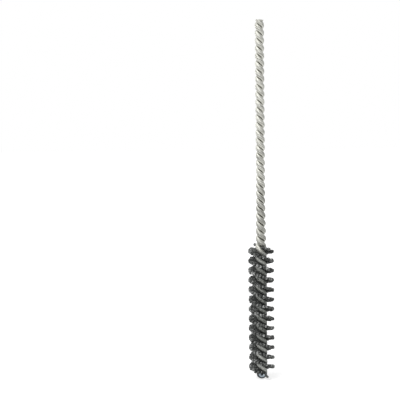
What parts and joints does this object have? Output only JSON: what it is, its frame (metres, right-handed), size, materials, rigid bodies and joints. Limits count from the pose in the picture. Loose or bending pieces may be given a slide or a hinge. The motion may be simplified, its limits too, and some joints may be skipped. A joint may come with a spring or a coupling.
{
  "type": "cylinder hone",
  "caption": "Slim flexible hone: a twisted wire stem grips a spiral brush of nylon filaments whose ends carry dark abrasive coats, for finishing small bores.",
  "frame": {"origin": "on the axis of the twist, at the lowest point of the folded tip", "axes": "+Z along the axis from the tip to the cut ends of the stem; +X to the right of the pictured side, where the rows of tufts show as slim fingers; -Y towards the viewer"},
  "size_m": [0.0098, 0.0098, 0.1348],
  "materials": {
    "steel": "satin drawn wire",
    "nylon": "satin",
    "abrasive": "rough grain"
  },
  "bodies": {
    "root": {"stem_wire": "steel", "row_01_filaments": "nylon", "row_01_coats": "abrasive", "row_02_filaments": "nylon", "row_02_coats": "abrasive", "row_03_filaments": "nylon", "row_03_coats": "abrasive", "row_04_filaments": "nylon", "row_04_coats": "abrasive", "row_05_filaments": "nylon", "row_05_coats": "abrasive", "row_06_filaments": "nylon", "row_06_coats": "abrasive", "row_07_filaments": "nylon", "row_07_coats": "abrasive", "row_08_filaments": "nylon", "row_08_coats": "abrasive", "row_09_filaments": "nylon", "row_09_coats": "abrasive", "row_10_filaments": "nylon", "row_10_coats": "abrasive", "row_11_filaments": "nylon", "row_11_coats": "abrasive", "row_12_filaments": "nylon", "row_12_coats": "abrasive", "row_13_filaments": "nylon", "row_13_coats": "abrasive"}
  },
  "joints": []
}
